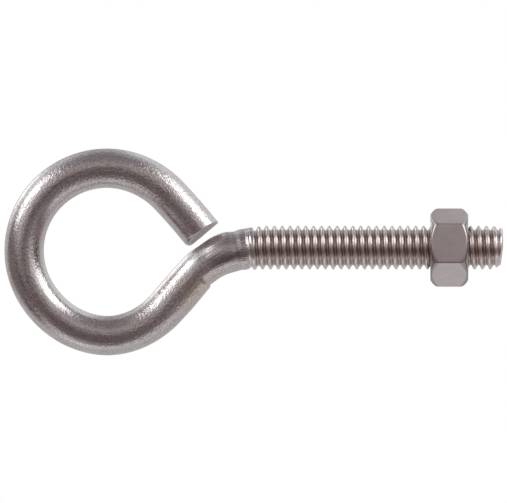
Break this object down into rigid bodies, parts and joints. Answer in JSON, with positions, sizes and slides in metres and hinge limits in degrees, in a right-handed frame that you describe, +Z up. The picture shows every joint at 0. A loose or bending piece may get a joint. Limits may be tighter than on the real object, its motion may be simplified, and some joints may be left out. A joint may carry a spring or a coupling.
{
  "type": "eye bolt",
  "caption": "Turned wire eye bolt: one steel wire bent into an open eye, with a rolled machine thread along its shank and a hex nut on the thread.",
  "frame": {"origin": "the centre of the eye, halfway through the wire", "axes": "+X along the shank towards its threaded point, +Y square to the plane of the eye, +Z up in the plane of the eye, on the side where the free tail end is. The shank's axis is 0.7 mm above the origin"},
  "size_m": [0.0896, 0.0132, 0.037],
  "materials": {
    "bolt_steel": "pickled and tumbled stainless steel wire with a fine grain, brighter on the rolled thread",
    "nut_steel": "satin stainless steel with soft mottling"
  },
  "bodies": {
    "bolt": {"eye_bolt": "bolt_steel"},
    "nut": {"hex_nut": "nut_steel"}
  },
  "joints": [
    {"name": "nut_travel", "type": "slide", "parent": "bolt", "child": "nut", "axis": [1, 0, 0], "range_m": [-0.02963, 0.0127]}
  ]
}
